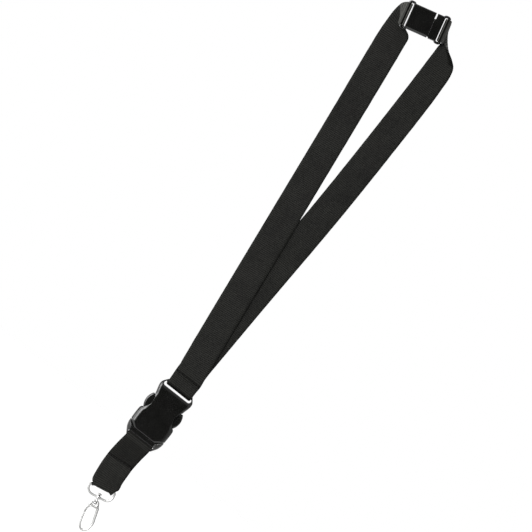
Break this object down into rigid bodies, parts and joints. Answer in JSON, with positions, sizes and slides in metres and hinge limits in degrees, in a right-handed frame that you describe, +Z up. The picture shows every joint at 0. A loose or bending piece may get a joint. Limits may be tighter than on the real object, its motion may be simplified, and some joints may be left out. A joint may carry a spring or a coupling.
{
  "type": "lanyard",
  "caption": "Neck lanyard of flat webbing with a safety breakaway, a side-release buckle, a short tab, a D-ring and an oval swivel hook with a sprung gate.",
  "frame": {"origin": "centre of the buckle's flat back face", "axes": "+Z up the hanging lanyard from hook to neck, +Y out of the back (towards the wearer), -Y the front, +X to the right seen from the front"},
  "size_m": [0.0739, 0.0115, 0.5332],
  "materials": {
    "webbing": "ribbed black polyester webbing",
    "thread": "black sewing thread",
    "plastic": "black moulded acetal, semi-gloss",
    "metal": "bright nickel plating"
  },
  "bodies": {
    "neck_loop": {"neck_strap": "webbing", "neck_seam_thread": "thread", "neck_seam_bobbin": "thread", "socket_seam_thread": "thread", "breakaway_socket": "plastic"},
    "plug": {"neck_strap_plug_end": "webbing", "plug_seam_thread": "thread", "breakaway_plug": "plastic"},
    "female": {"buckle_female": "plastic"},
    "male": {"buckle_male": "plastic"},
    "arm_left": {"buckle_arm_left": "plastic"},
    "arm_right": {"buckle_arm_right": "plastic"},
    "tab": {"tab_strap": "webbing", "tab_seam_thread": "thread", "tab_seam_bobbin": "thread"},
    "ring": {"d_ring": "metal", "swivel_stud": "metal"},
    "hook": {"hook_body": "metal", "gate_pin": "metal", "gate_spring": "metal"},
    "gate": {"hook_gate": "metal"}
  },
  "joints": [
    {"name": "breakaway_release", "type": "slide", "parent": "neck_loop", "child": "plug", "axis": [0.9703, 0, 0.2419], "range_m": [0, 0.014]},
    {"name": "buckle_swing", "type": "hinge", "parent": "neck_loop", "child": "female", "pos_m": [0, -0.005, 0.0274], "axis": [1, 0, 0], "range_deg": [-75, 75]},
    {"name": "buckle_release", "type": "slide", "parent": "female", "child": "male", "axis": [0, 0, -1], "range_m": [0, 0.035], "deforming": ["buckle_arm_left", "buckle_arm_right"]},
    {"name": "arm_press_left", "type": "hinge", "parent": "male", "child": "arm_left", "pos_m": [-0.0129, -0.005, -0.0175], "axis": [0, 1, 0], "range_deg": [0, 8], "stiffness_Nm_per_rad": 0.5},
    {"name": "arm_press_right", "type": "hinge", "parent": "male", "child": "arm_right", "pos_m": [0.0129, -0.005, -0.0175], "axis": [0, -1, 0], "range_deg": [0, 8], "stiffness_Nm_per_rad": 0.5},
    {"name": "tab_swing", "type": "hinge", "parent": "male", "child": "tab", "pos_m": [0, -0.005, -0.02795], "axis": [1, 0, 0], "range_deg": [-75, 75]},
    {"name": "ring_swing", "type": "hinge", "parent": "tab", "child": "ring", "pos_m": [0.00025, -0.005, -0.07736], "axis": [0.9833, 0, 0.1822], "range_deg": [-60, 60]},
    {"name": "hook_spin", "type": "hinge", "parent": "ring", "child": "hook", "pos_m": [0.002, -0.005, -0.0868], "axis": [-0.1822, 0, 0.9833], "continuous": true},
    {"name": "gate_open", "type": "hinge", "parent": "hook", "child": "gate", "pos_m": [0.00062, -0.005, -0.0958], "axis": [0, -1, 0], "range_deg": [0, 25], "stiffness_Nm_per_rad": 0.02}
  ],
  "couplings": [
    {"joint": "arm_press_right", "follows": "arm_press_left", "ratio": 1}
  ]
}
